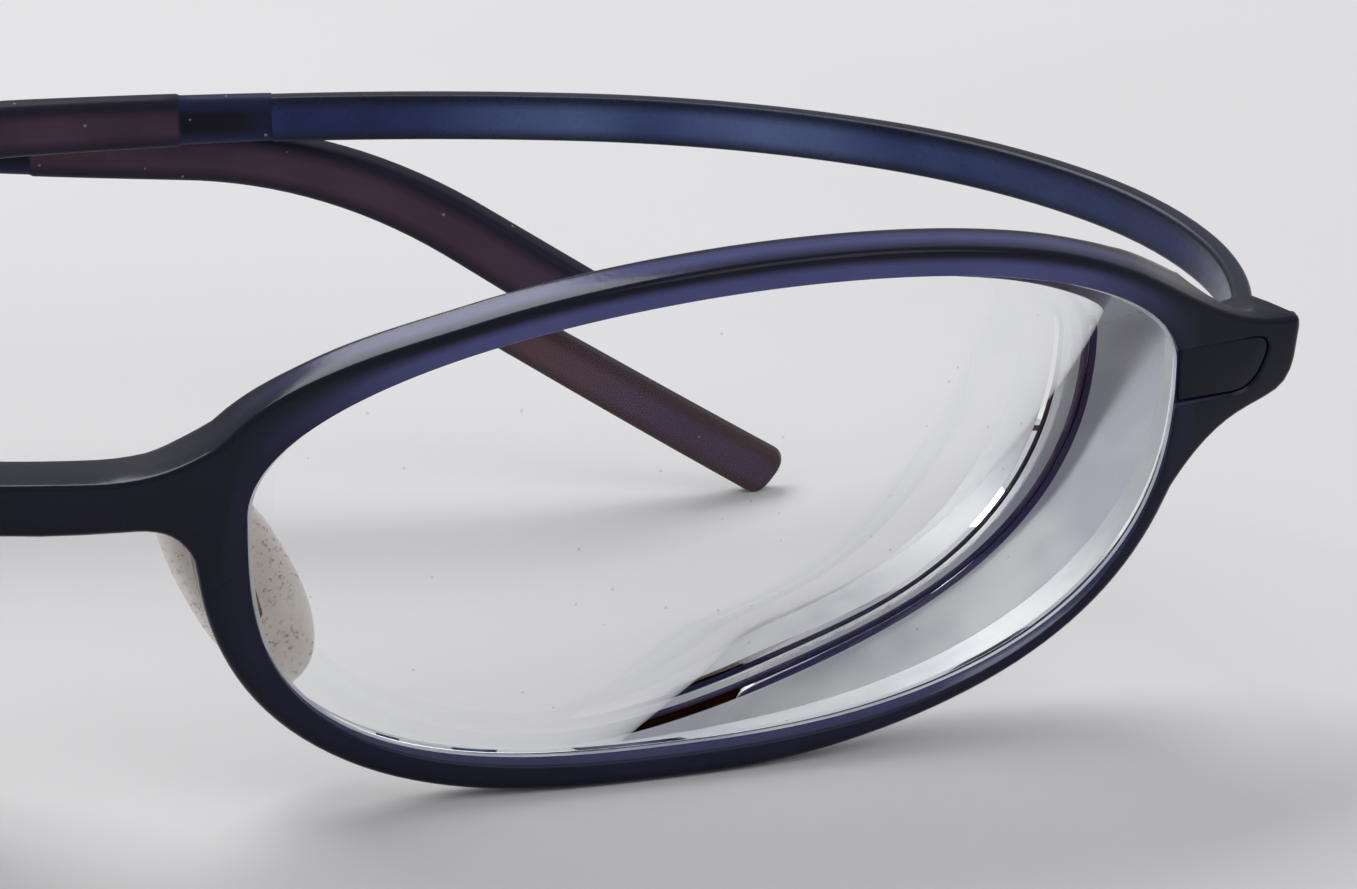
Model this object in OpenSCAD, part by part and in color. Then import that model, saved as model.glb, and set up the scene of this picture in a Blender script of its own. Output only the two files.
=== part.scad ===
// Hingeless eyeglasses: a one-piece oval front, two minus lenses, two thin elastic
// temples that curl inwards and cross behind the front, rubber tips and soft nose pads.
// Millimetres. X across the face, Y backwards from the front, Z up from the table.
// Left and right are the wearer's: the left half is on the +X side.

/* [Eye shape] */
// Lens width, along the lens
lens_w = 53.6; // [46:0.1:58]
// Lens height, along the lens
lens_h = 29.4; // [24:0.1:34]
// Gap between the two lenses at the nose
nose_gap = 22.4; // [16:0.1:26]
// Height of the lens centre above the table
eye_z = 16.9; // [15.5:0.1:22]

/* [Front] */
// Radius of the face curve of the whole front
front_r = 139; // [100:1:220]
// Forward lean of the front, degrees
front_tilt = 7.9; // [0:0.1:12]
// Thickness of the rims from face to back
rim_t = 2.7; // [2.6:0.1:4]
// Thickness of the middle of the bridge from face to back
bridge_t = 3.8; // [3:0.1:5]
// Thickness of the ends that hold the temples, from face to back
end_t = 3.5; // [3:0.1:4.5]
// Width of the rim's face at the top
rim_w = 1.75; // [1.2:0.05:3]
// Extra width of the rim beside the nose
nasal_extra = 1.15; // [0:0.05:2]
// How much narrower the rim gets at its lower outer side
corner_thin = 0.95; // [0:0.05:1]
// Height of the bridge
bridge_h = 3.4; // [2.4:0.1:6]
// Height of the bridge's lower edge above the table
bridge_z = 19.1; // [17:0.1:21]

/* [Lens] */
// Radius of the lens's front surface
lens_front_r = 150; // [100:1:400]
// Radius of the lens's back surface
lens_back_r = 61; // [45:1:90]
// Thickness at the optical centre
lens_centre_t = 1.1; // [0.8:0.1:2]
// How far the lens's front lies behind the rim's face
lens_set = 0.5; // [0.3:0.05:0.8]
// Height of the ridge round the lens that sits in the rim
ridge_h = 0.35; // [0.25:0.05:0.4]

/* [Temple] */
// Length of the temple and tip along their curve
temple_l = 141; // [130:0.5:146]
// Height of the blade
blade_h = 2.95; // [2.2:0.05:4]
// Thickness of the blade
blade_t = 1.25; // [0.9:0.05:1.8]
// Outward swing of the right temple, which passes behind the left one, degrees
right_swing = 3.2; // [3:0.1:8]
// Downward slope of the right temple, which passes under the left one, degrees
right_sag = 2.1; // [2:0.1:3]

/* [Tip] */
// Length of blade that shows before the tip
blade_l = 81.4; // [70:0.2:88]
// Height of the tip at its end
tip_h = 4.3; // [3.4:0.1:5]
// Thickness of the tip at its end
tip_t = 2.0; // [1.8:0.1:3]
// Corner radius of the tip's end
tip_round = 1.4; // [0.8:0.1:1.6]
// Where the ear bend starts, along the temple
bend_at = 97; // [92:0.5:102]
// Radius of the ear bend
bend_r = 33.5; // [25:0.5:45]
// Angle of the ear bend, degrees
bend_a = 31.5; // [15:0.5:33]

/* [Nose pad] */
// Length of a nose pad
pad_l = 16; // [11:0.5:17]
// Width of a nose pad
pad_w = 6.2; // [5.5:0.1:8]
// Thickness of a nose pad
pad_t = 2.0; // [1.8:0.1:2.6]

/* [Fits] */
// Gap round each lens, and round its ridge in the groove
lens_gap = 0.04; // [0.02:0.01:0.1]
// Gap round each tenon in the front
tenon_gap = 0.04; // [0.02:0.01:0.1]
// Gap between a tongue or a peg and its rubber
rubber_gap = 0.03; // [0.02:0.01:0.1]

/* [Hidden] */
$fn = 96;
front_pivot_z = 15;          // height the front leans about
rest_tilt = 2.35;            // the part lies on both rims and one temple tip
rest_shift = [0, -29.70, -1.00];
wrap = asin((nose_gap + lens_w)/2/front_r);   // turn of each lens to follow the face curve
body_reach = [-6, 16];       // front and back ends of a body, before its own surfaces trim it
cut_reach = [-8, 18];        // the same for a cut through such a body
eye_steps = 16;              // points per quarter of the eye outline
blade_steps = 44;            // rings along each blade
tip_steps = 34;              // rings along each tip
path_step = 0.5;             // step with which the path of a temple is followed

// Where the four sides of the eye outline reach furthest, and how full its corners are
eye_top_u = 1.85;
eye_bottom_u = -1.85;
eye_nasal_v = 2.9;
eye_outer_v = 5.0;
corner_fill = [2.02, 1.95, 3.08, 2.58];

eye_half_w = lens_w/2;
eye_half_h = lens_h/2;
eye_tilt = atan(tan(front_tilt)*cos(wrap));
eye_x = nose_gap/2 + eye_half_w*cos(wrap) + 0.7;
optic_u = -6;
optic_v = -3.6;
groove_at = 1.4;             // from the rim's face to the groove
groove_w = 0.7;
bridge_waist_r = 41;         // hollow curve of the bridge's back, thinnest in the middle
bridge_back_r = 44.2;        // curve that brings the bridge's back down to the rims
bridge_back_y = 5.7;         // how far back that curve reaches

// Direction of a temple seen from above: [part of its length, degrees turned inwards]
curl = [[0, -14.6], [0.0425, 0.9], [0.0989, 19.4], [0.184, 41.7], [0.2978, 63.6], [0.4393, 83.4],
        [0.6025, 94.3], [0.7806, 100.3], [1.2, 100.3]];
heading = [for (c = curl) [c[0]*temple_l, c[1]]];

// Outer face of the blade where its path starts, just behind the face of the front
root_x = eye_x + (eye_half_w + 3.7)*cos(wrap);
root_z = eye_z + 4.55;
root = [root_x, face_y(root_x, root_z) + 2.1, root_z];
blade_from = 2.3;            // the blade leaves the back of the front here
tenon_reach = 0.9;           // the tenon runs this far out of the back of the front
heel_l = 5;                  // length over which the root thins to the blade
heel_t = 3.1;
scoop_at = [root_x - 3.4, root_z + 2.15];     // x, and height it starts at
scoop_r = 2.3;
neck_ridge_t = 1.1;
tongue_l = 5.8;
tongue_h = blade_h - 1.1;
tongue_t = 0.7;
tongue_sunk = 0.05;
tip_lap = 0.35;              // how much thicker the tip starts than the blade, on its outer side
tip_step = 0.2;              // and how much higher
tip_edge_r = 0.55;           // radius of its long edges

// Panel on each end of the front: the tenon of the temple shows in it
panel_out = eye_half_w + 5.95;
panel_top = eye_outer_v + 0.85;
panel_low = eye_outer_v - 2.75;
panel_deep = 0.45;
panel_sunk = 0.15;
slot_in = eye_half_w + 1.7;

pad_at = [nose_gap/2 - 1.95, 7.05, eye_z - 2.65];
pad_lean = [-4, -24, 39];
peg = [1.6, 3.2, 4.4];
peg_at = [nose_gap/2 - 1, 3.2, eye_z - 3.4];

// Curves and outlines

// Depth of the front's face behind its middle, at x and height z
function face_y(x, z) =
    (front_r - sqrt(front_r*front_r - x*x))/cos(front_tilt) - (z - front_pivot_z)*tan(front_tilt);

// A point of a quarter superellipse of size 1, at angle a
function corner_point(a, n) = [cos(a), sin(a)]/pow(pow(cos(a), n) + pow(sin(a), n), 1/n);

// A point of one eye quarter moved out by `grow`; quarters run outer-top, top-nasal,
// nasal-bottom, bottom-outer, and each has its own centre, sides and fullness
function quarter_point(q, a, grow) =
    let (su = (q == 0 || q == 3) ? 1 : -1,
         sv = q < 2 ? 1 : -1,
         c = [q < 2 ? eye_top_u : eye_bottom_u, su > 0 ? eye_outer_v : eye_nasal_v],
         side = [eye_half_w - su*c[0], eye_half_h - sv*c[1]],
         n = corner_fill[q],
         p = corner_point(q % 2 == 0 ? a : 90 - a, n),
         g = [pow(p[0], n - 1)/side[0], pow(p[1], n - 1)/side[1]],
         d = g/norm(g))
    [c[0] + su*(side[0]*p[0] + grow*d[0]), c[1] + sv*(side[1]*p[1] + grow*d[1])];

// Closed eye outline, `grow` outside the lens opening
function eye_outline(grow) =
    [for (q = [0:3], i = [0:eye_steps - 1]) quarter_point(q, 90*i/eye_steps, grow)];

// 1 at angle c, falling smoothly to 0 at c - h and c + h
function bump(a, c, h) =
    let (d = abs((a - c + 540) % 360 - 180)) d < h ? 0.5 + 0.5*cos(180*d/h) : 0;

// Width of the rim's face, in the direction of one point of the outline
function rim_width(p) =
    let (a = atan2(p[1], p[0]))
    rim_w - 0.15*bump(a, 262, 60) + nasal_extra*bump(a, 174, 36) - corner_thin*bump(a, -28, 65);

function rim_outline() =
    [for (q = [0:3], i = [0:eye_steps - 1])
        quarter_point(q, 90*i/eye_steps, rim_width(quarter_point(q, 90*i/eye_steps, 0)))];

// Cubic curve with ends p0 and p3, as n + 1 points
function curve(p0, p1, p2, p3, n = 14) =
    [for (i = [0:n]) let (t = i/n, s = 1 - t) s*s*s*p0 + 3*s*s*t*p1 + 3*s*t*t*p2 + t*t*t*p3];

// Outline of the end of the front that holds the temple
function end_outline() = concat(
    [[eye_half_w - 7, eye_outer_v + 5]],
    curve(end_at(-4.5, 7.5), end_at(0.6, 5.9), end_at(3, 1.5), end_at(7.7, 1.2)),
    curve(end_at(7.95, 1.18), end_at(8.25, 1.1), end_at(8.22, 0.9), end_at(8.2, 0.5), 3),
    curve(end_at(8, -1.2), end_at(7.8, -2.8), end_at(7, -3.3), end_at(5.9, -3.6), 6),
    curve(end_at(5.4, -3.75), end_at(3.3, -4.3), end_at(1.6, -5.1), end_at(-1, -9.6)),
    [[eye_half_w - 7, eye_outer_v - 10]]);

// A place on the end, measured from the outermost point of the lens opening
function end_at(u, v) = [eye_half_w + u, eye_outer_v + v];

// One half of the bridge, from the middle out to where it runs into the rim
function bridge_half() = concat(
    [[0, bridge_z + bridge_h]],
    curve([3, bridge_z + bridge_h], [7.5, bridge_z + bridge_h + 0.1],
          [9.5, bridge_z + bridge_h + 1.7], [14.2, bridge_z + bridge_h + 4.8]),
    [[16, 20]],
    curve([9.4, bridge_z - 5.8], [8.3, bridge_z - 0.5], [7.6, bridge_z + 0.55], [4.6, bridge_z + 0.3]),
    [[0, bridge_z]]);

// Shape of the panel, `grow` larger all round, from `low` on its inner side
function panel_outline(low, grow) = concat(
    [[low - grow, panel_top + 0.25 + grow]],
    curve([panel_out - 1.3, panel_top - 0.2 + grow], [panel_out + grow, panel_top - 0.25 + grow],
          [panel_out + 0.1 + grow, panel_top - 1.0], [panel_out - 0.2 + grow, panel_top - 1.8], 8),
    curve([panel_out - 0.5 + grow, panel_low + 1.1], [panel_out - 1.1 + grow, panel_low + 0.1 - grow],
          [panel_out - 1.7, panel_low - grow], [panel_out - 2.6, panel_low + 0.1 - grow], 8),
    [[low - grow, panel_low + 0.4 - grow]]);

// Outline of a nose pad: a full oval
function pad_outline() =
    [for (k = [0:3], a = [0:11.25:89])
        let (p = corner_point(k % 2 == 0 ? a : 90 - a, 2.3))
        [(k == 0 || k == 3 ? 1 : -1)*pad_w/2*p[0], (k < 2 ? 1 : -1)*pad_l/2*p[1]]];

// Path of a temple

function bend_at_s(s) = min(max((s - bend_at)/bend_r*180/PI, 0), bend_a);

// Slope of the path at distance s: the sag ends where the ear bend begins
function slope_at(s, sag) = bend_at_s(s) + sag*(1 - ease(s, bend_at - 15, bend_at));

// One step of the path: [x, y, z, distance seen from above, distance]
function step_on(p, ds, swing, sag) =
    let (h = lookup(p[3], heading) - swing, b = slope_at(p[4], sag))
    p + ds*[-sin(h)*cos(b), cos(h)*cos(b), -sin(b), cos(b), 1];

// Place on the path at distance s from its start
function place(s, swing, sag, p = [root[0], root[1], root[2], 0, 0]) =
    s - p[4] < path_step ? step_on(p, s - p[4], swing, sag)
                         : place(s, swing, sag, step_on(p, path_step, swing, sag));

// Rounded rectangle, as [outwards, up] pairs, with its outer face at 0
function section(t, h, r) =
    [[0, h/2 - r], [-0.3*r, h/2 - 0.3*r], [-r, h/2], [r - t, h/2], [0.3*r - t, h/2 - 0.3*r], [-t, h/2 - r],
     [-t, r - h/2], [0.3*r - t, 0.3*r - h/2], [r - t, -h/2], [-r, -h/2], [-0.3*r, 0.3*r - h/2], [0, r - h/2]];

// A section set across the path at place q
function ring(q, pts, swing, sag) =
    let (h = lookup(q[3], heading) - swing, b = slope_at(q[4], sag))
    [for (p = pts)
        [q[0], q[1], q[2]] + p[0]*[cos(h), sin(h), 0] + p[1]*[-sin(h)*sin(b), cos(h)*sin(b), cos(b)]];

function span(a, b, n) = [for (i = [0:n]) a + (b - a)*i/n];

// 0 before a, 1 after b
function ease(s, a, b) = let (t = min(max((s - a)/(b - a), 0), 1)) t*t*(3 - 2*t);

function blade_thick(s) = heel_t + (blade_t - heel_t)*ease(s, blade_from, heel_l + blade_from);

// Shared building blocks

// Both halves of the part: children are drawn for the left half
module mirrored() {
    children();
    mirror([1, 0, 0]) children();
}

// Lays the finished shapes on the table, with the middle of the part at X = Y = 0
module on_table() {
    translate(rest_shift)
        rotate([rest_tilt, 0, 0])
            children();
}

// Moves a child from the lens's own place to the left lens
module at_eye() {
    translate([eye_x, face_y(eye_x, eye_z), eye_z])
        rotate([eye_tilt, 0, wrap])
            children();
}

// Straight wall: an outline in X and Z, pushed from one depth to another
module wall(points, reach) {
    translate([0, reach[1], 0])
        rotate([90, 0, 0])
            linear_extrude(reach[1] - reach[0])
                polygon(points);
}

// Leans a child forward with the front
module leaning() {
    translate([0, 0, front_pivot_z])
        rotate([front_tilt, 0, 0])
            children();
}

// Slice of the face-curved sheet that the front is cut from
module sheet(from, to) {
    leaning()
        translate([0, front_r, -30])
            difference() {
                cylinder(r = front_r - from, h = 60, $fn = 360);
                translate([0, 0, -1])
                    cylinder(r = front_r - to, h = 62, $fn = 360);
            }
}

// Skin stretched over a row of rings
module skin(rings) {
    n = len(rings[0]);
    m = len(rings);
    polyhedron(
        points = [for (r = rings) each r],
        faces = concat(
            [[for (i = [n - 1:-1:0]) i]],
            [[for (i = [0:n - 1]) (m - 1)*n + i]],
            [for (k = [0:m - 2], i = [0:n - 1]) [(k + 1)*n + i, k*n + i, (k + 1)*n + (i + 1) % n]],
            [for (k = [0:m - 2], i = [0:n - 1]) [(k + 1)*n + (i + 1) % n, k*n + i, k*n + (i + 1) % n]]));
}

// The front

module rim_plate() {
    intersection() {
        at_eye() wall(rim_outline(), body_reach);
        sheet(0, rim_t);
    }
}

// Block that holds the temple: deeper than the rim, with a rounded outer back corner
module end_block() {
    intersection() {
        at_eye() wall(end_outline(), body_reach);
        sheet(0, end_t);
        translate([root[0] - 0.7, face_y(root[0], root[2]) + 0.2, 0])
            cylinder(r = 4, h = 60);
    }
}

// Neck that flows from the top and side of the rim into the block
module end_neck() {
    intersection() {
        at_eye() wall(end_outline(), body_reach);
        sheet(0, rim_t);
        translate([root[0] - 100.7, -100, 0])
            cube([100, 200, 100]);
    }
}

// Hollow behind the top of the neck: it leaves a thin ridge in front of the blade
module neck_scoop() {
    translate([scoop_at[0], face_y(scoop_at[0], scoop_at[1]) + neck_ridge_t + scoop_r, scoop_at[1]])
        cylinder(r = scoop_r, h = 20);
}

module bridge() {
    intersection() {
        wall(concat(bridge_half(), [for (i = [len(bridge_half()) - 1:-1:0])
            [-bridge_half()[i][0], bridge_half()[i][1]]]), cut_reach);
        sheet(0, 20);
        leaning()
            difference() {
                translate([0, bridge_back_y - bridge_back_r, -30])
                    cylinder(r = bridge_back_r, h = 60, $fn = 240);
                translate([0, bridge_t + bridge_waist_r, -31])
                    cylinder(r = bridge_waist_r, h = 62, $fn = 240);
            }
    }
}

// Moulded stub that the soft pad is pushed onto
module pad_peg(grow) {
    translate(peg_at)
        rotate([0, -14, 0])
            translate([-peg[0]/2 - grow, -1, -peg[2]/2 - grow])
                cube([peg[0] + 2*grow, peg[1] + 1 + grow, peg[2] + 2*grow]);
}

module lens_groove() {
    intersection() {
        at_eye() wall(eye_outline(ridge_h + lens_gap), body_reach);
        sheet(groove_at - lens_gap, groove_at + groove_w + lens_gap);
    }
}

module front_frame() {
    color([0.1, 0.11, 0.26])
        on_table()
            difference() {
                union() {
                    bridge();
                    mirrored() {
                        rim_plate();
                        end_block();
                        end_neck();
                        pad_peg(0);
                    }
                }
                mirrored() {
                    at_eye() wall(eye_outline(0), cut_reach);
                    lens_groove();
                    neck_scoop();
                    at_eye() wall(panel_outline(slot_in, tenon_gap), cut_reach);
                    intersection() {
                        at_eye() wall(panel_outline(eye_half_w - 2, tenon_gap), body_reach);
                        sheet(-1, panel_deep);
                    }
                }
            }
}

// The lenses

module lens() {
    front_c = [0, lens_set + lens_front_r, 0];
    optic = [optic_u, front_c[1] - sqrt(lens_front_r*lens_front_r - optic_u*optic_u - optic_v*optic_v), optic_v];
    back_c = optic + (front_c - optic)/norm(front_c - optic)*(lens_centre_t + lens_back_r);
    difference() {
        union() {
            at_eye()
                intersection() {
                    wall(eye_outline(-lens_gap), body_reach);
                    translate(front_c) sphere(r = lens_front_r, $fn = 360);
                }
            intersection() {
                at_eye()
                    difference() {
                        wall(eye_outline(ridge_h), body_reach);
                        wall(eye_outline(-1), cut_reach);
                    }
                sheet(groove_at, groove_at + groove_w);
            }
        }
        at_eye() translate(back_c) sphere(r = lens_back_r, $fn = 240);
    }
}

module lens_left() {
    color([0.85, 0.88, 0.9, 0.35]) on_table() lens();
}

module lens_right() {
    color([0.85, 0.88, 0.9, 0.35]) on_table() mirror([1, 0, 0]) lens();
}

// The nose pads

// Oval plate with a domed face towards the nose and a blind socket for the peg
module nose_pad() {
    difference() {
        translate(pad_at)
            rotate(pad_lean)
                intersection() {
                    wall(pad_outline(), [-pad_t/2, pad_t/2]);
                    translate([0, pad_t/2 - 18, 0]) sphere(r = 18, $fn = 120);
                }
        pad_peg(rubber_gap);
    }
}

module nose_pad_left() {
    color([0.85, 0.8, 0.68]) on_table() nose_pad();
}

module nose_pad_right() {
    color([0.85, 0.8, 0.68]) on_table() mirror([1, 0, 0]) nose_pad();
}

// The temples

// Thin tongue at the end of the blade, seen on the tip's inner side; `open` cuts it free there
module tongue(grow, open, swing, sag) {
    skin([for (s = span(blade_l - 0.5, blade_l + tongue_l + grow, 4))
        ring(place(s, swing, sag),
             [for (p = section(tongue_t + grow + open, tongue_h + 2*grow, 0.2))
                 p - [blade_t - tongue_sunk - tongue_t - grow, 0]],
             swing, sag)]);
}

module blade(swing, sag) {
    ss = concat(span(blade_from, 14, 12), span(16, blade_l, blade_steps - 13));
    skin([for (s = ss)
        ring(place(s, swing, sag), section(blade_thick(s), blade_h, 0.35), swing, sag)]);
    tongue(0, 0, swing, sag);
}

// The moulded end of the temple: it fills the slot and shows as the sunken panel
module tenon() {
    intersection() {
        at_eye() wall(panel_outline(slot_in, 0), body_reach);
        sheet(panel_sunk, end_t + tenon_reach);
    }
    intersection() {
        at_eye()
            difference() {
                wall(panel_outline(eye_half_w - 2, 0), body_reach);
                wall(eye_outline(0.1), cut_reach);
            }
        sheet(panel_sunk, panel_deep - tenon_gap);
    }
}

module temple(swing, sag) {
    tenon();
    blade(swing, sag);
}

module temple_left() {
    color([0.12, 0.2, 0.48]) on_table() temple(0, 0);
}

module temple_right() {
    color([0.12, 0.2, 0.48])
        on_table()
            mirror([1, 0, 0]) temple(right_swing, right_sag);
}

// Rubber tip: it starts at the blade's size, grows towards its end and has round corners there
module temple_tip(swing, sag) {
    end_s = temple_l - tip_round;
    turn = [for (k = [1:6]) end_s + tip_round*sin(14*k)];
    difference() {
        skin([for (s = concat(span(blade_l, end_s, tip_steps), turn))
            let (t = blade_t + tip_lap + (tip_t - blade_t - tip_lap)*ease(s, blade_l, bend_at + bend_r/2),
                 h = blade_h + tip_step + (tip_h - blade_h - tip_step)*(s - blade_l)/(temple_l - blade_l),
                 into = max(s - end_s, 0)/tip_round,
                 drop = tip_round*(1 - sqrt(1 - into*into)),
                 te = t - drop*tip_t/tip_h,
                 he = h - 2*drop)
            ring(place(s, swing, sag),
                 [for (p = section(te, he, min(tip_edge_r, te/2.6))) p + [(tip_lap - blade_t + te)/2, 0]],
                 swing, sag)]);
        tongue(rubber_gap, 1, swing, sag);
    }
}

module temple_tip_left() {
    color([0.2, 0.15, 0.22]) on_table() temple_tip(0, 0);
}

module temple_tip_right() {
    color([0.2, 0.15, 0.22])
        on_table()
            mirror([1, 0, 0]) temple_tip(right_swing, right_sag);
}

front_frame();
lens_left();
lens_right();
nose_pad_left();
nose_pad_right();
temple_left();
temple_right();
temple_tip_left();
temple_tip_right();
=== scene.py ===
"""Hingeless eyeglasses on a pale table, with their temples curled in and crossed."""
import math

import bmesh
import bpy
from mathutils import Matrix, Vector
from mathutils.kdtree import KDTree
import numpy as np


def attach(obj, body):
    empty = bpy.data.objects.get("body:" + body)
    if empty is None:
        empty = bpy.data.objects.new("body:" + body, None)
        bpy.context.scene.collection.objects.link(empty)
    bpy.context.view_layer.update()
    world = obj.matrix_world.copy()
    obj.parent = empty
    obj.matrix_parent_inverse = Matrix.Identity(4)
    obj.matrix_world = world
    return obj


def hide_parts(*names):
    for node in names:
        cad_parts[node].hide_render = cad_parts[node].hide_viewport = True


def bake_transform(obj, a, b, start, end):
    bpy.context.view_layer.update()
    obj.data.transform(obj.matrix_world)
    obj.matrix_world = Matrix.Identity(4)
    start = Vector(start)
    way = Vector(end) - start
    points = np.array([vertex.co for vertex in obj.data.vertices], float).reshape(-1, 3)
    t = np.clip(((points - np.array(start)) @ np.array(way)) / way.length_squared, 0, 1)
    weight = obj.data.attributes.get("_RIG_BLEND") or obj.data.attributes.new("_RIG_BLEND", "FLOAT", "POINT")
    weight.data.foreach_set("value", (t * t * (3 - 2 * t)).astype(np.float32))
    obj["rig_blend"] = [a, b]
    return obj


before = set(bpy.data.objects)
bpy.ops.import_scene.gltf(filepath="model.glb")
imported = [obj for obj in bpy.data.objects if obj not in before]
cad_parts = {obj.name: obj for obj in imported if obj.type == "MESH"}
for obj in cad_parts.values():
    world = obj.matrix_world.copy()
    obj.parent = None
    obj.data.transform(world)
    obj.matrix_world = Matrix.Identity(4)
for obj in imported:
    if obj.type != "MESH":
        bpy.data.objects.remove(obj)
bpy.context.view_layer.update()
MM = 0.001

# Sizes of the glasses, in millimetres and degrees

LENS_WIDTH = 53.6
LENS_HEIGHT = 29.4
NOSE_GAP = 22.4
EYE_HEIGHT = 16.9
FACE_RADIUS = 139.0
FRONT_LEAN = 7.9
LEAN_HEIGHT = 15.0
REST_LEAN = 2.35
REST_SHIFT = Vector((0, -29.70, -1.00))
WRAP = math.degrees(math.asin((NOSE_GAP + LENS_WIDTH) / 2 / FACE_RADIUS))
EYE_LEAN = math.degrees(math.atan(math.tan(math.radians(FRONT_LEAN)) * math.cos(math.radians(WRAP))))
EYE_SHIFT = 0.7
EYE_X = NOSE_GAP / 2 + LENS_WIDTH / 2 * math.cos(math.radians(WRAP)) + EYE_SHIFT

LENS_FRONT_RADIUS = 133.0
LENS_BACK_RADIUS = 59.1
LENS_CENTRE_THICKNESS = 1.1
LENS_SET_BACK = 0.2
OPTICAL_CENTRE = (-4.1, -3.4)
LENS_INDEX = 1.67
RIDGE_HEIGHT = 0.31
LENS_GAP = 0.04

# The lens's back steepens towards its lower outer edge: slope at the edge, where along the way out it
# begins, its power, and the direction and width of that part
STEEP = 0.254
STEEP_FROM = 0.223
STEEP_POWER = 1.3
STEEP_TOWARDS = -44.0
STEEP_SPREAD = 85.5

PAD_LENGTH = 16.0
PAD_WIDTH = 6.2
PAD_THICKNESS = 2.0
PAD_LEAN = (-4, -24, 39)

TEMPLE_LENGTH = 141.0
BLADE_LENGTH = 81.4
BLADE_HEIGHT = 2.95
BLADE_THICKNESS = 1.25
BLADE_EDGE = 0.35
HEEL_THICKNESS = 3.1
HEEL_LENGTH = 2.2
BLADE_START = 2.3
TONGUE_LENGTH = 5.8
TONGUE_HEIGHT = 1.85
TONGUE_THICKNESS = 0.7
TIP_LAP = 0.35
TIP_STEP = 0.2
TIP_HEIGHT = 4.3
TIP_THICKNESS = 2.0
TIP_EDGE = 0.55
TIP_ROUND = 1.4
BEND_START = 97.0
BEND_RADIUS = 33.5
BEND_ANGLE = 31.5
RIGHT_SWING = 3.2
RIGHT_SAG = 2.1
SAG_FADE = 15.0
PATH_STEP = 0.5
SLEEVE_END = BLADE_LENGTH + TONGUE_LENGTH
BENDS_FROM = BLADE_START + 1
BENDS_UNTIL = 14.0

# Distances in metres below which two corners count as one, a corner lies in the middle plane, and a
# corner is still where it was put
TOUCHING = 1e-7
ON_MIDDLE = 1e-8
SAME = 1e-9


# Placing

def rotate_x(p, degrees):
    a = math.radians(degrees)
    c, s = math.cos(a), math.sin(a)
    return Vector((p[0], p[1] * c - p[2] * s, p[1] * s + p[2] * c))


def rotate_y(p, degrees):
    a = math.radians(degrees)
    c, s = math.cos(a), math.sin(a)
    return Vector((p[0] * c + p[2] * s, p[1], -p[0] * s + p[2] * c))


def rotate_z(p, degrees):
    a = math.radians(degrees)
    c, s = math.cos(a), math.sin(a)
    return Vector((p[0] * c - p[1] * s, p[0] * s + p[1] * c, p[2]))


def face_depth(x, z):
    """How far the face of the front lies behind its middle."""
    lean = math.radians(FRONT_LEAN)
    bulge = FACE_RADIUS - math.sqrt(FACE_RADIUS ** 2 - x * x)
    return bulge / math.cos(lean) - (z - LEAN_HEIGHT) * math.tan(lean)


def on_table(p, side=1):
    """A place on the left half, laid on the table; side -1 gives the right half."""
    p = rotate_x(p, REST_LEAN) + REST_SHIFT
    return Vector((side * p.x, p.y, p.z)) * MM


def at_eye(p, side):
    """A place measured from the middle of the lens, laid on the table."""
    p = rotate_z(rotate_x(p, EYE_LEAN), WRAP)
    return on_table(p + Vector((EYE_X, face_depth(EYE_X, EYE_HEIGHT), EYE_HEIGHT)), side)


def ease(value, low, high):
    """Rises smoothly from 0 at low to 1 at high."""
    t = min(max((value - low) / (high - low), 0), 1)
    return t * t * (3 - 2 * t)


# Eye outline: how full its four corners are, and where its sides reach furthest

EYE_CORNERS = (2.02, 1.95, 3.08, 2.58)
TOP_AT = 1.85
OUTER_AT = 5.0
NASAL_AT = 2.9


def eye_point(degrees, grow=0.0):
    """A point of the lens outline, `grow` outside it; 0 is the outer side and 90 the top."""
    quarter = int(degrees // 90) % 4
    a = math.radians(degrees % 90)
    right = 1 if quarter in (0, 3) else -1
    up = 1 if quarter < 2 else -1
    centre = (TOP_AT if quarter < 2 else -TOP_AT, OUTER_AT if right > 0 else NASAL_AT)
    sides = (LENS_WIDTH / 2 - right * centre[0], LENS_HEIGHT / 2 - up * centre[1])
    fullness = EYE_CORNERS[quarter]
    if quarter % 2:
        a = math.pi / 2 - a
    c, s = math.cos(a), math.sin(a)
    k = (abs(c) ** fullness + abs(s) ** fullness) ** (-1 / fullness)
    p = (c * k, s * k)
    gx = abs(p[0]) ** (fullness - 1) / sides[0]
    gz = abs(p[1]) ** (fullness - 1) / sides[1]
    length = math.hypot(gx, gz)
    return (centre[0] + right * (sides[0] * p[0] + grow * gx / length),
            centre[1] + up * (sides[1] * p[1] + grow * gz / length))


# Temple path. CURL is its direction seen from above: part of its length, degrees turned inwards

CURL = ((0, -14.6), (0.0425, 0.9), (0.0989, 19.4), (0.184, 41.7), (0.2978, 63.6), (0.4393, 83.4),
        (0.6025, 94.3), (0.7806, 100.3), (1.2, 100.3))
ROOT_OUT = 3.7
ROOT_UP = 4.55
ROOT_BACK = 2.1
ROOT_X = EYE_X + (LENS_WIDTH / 2 + ROOT_OUT) * math.cos(math.radians(WRAP))
ROOT_Z = EYE_HEIGHT + ROOT_UP
ROOT = Vector((ROOT_X, face_depth(ROOT_X, ROOT_Z) + ROOT_BACK, ROOT_Z))


def curl_at(flat):
    """Degrees turned inwards after the distance `flat`, measured as seen from above."""
    part = flat / TEMPLE_LENGTH
    for (a, turn_a), (b, turn_b) in zip(CURL, CURL[1:]):
        if part <= b:
            return turn_a + (turn_b - turn_a) * (part - a) / (b - a)
    return CURL[-1][1]


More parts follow.
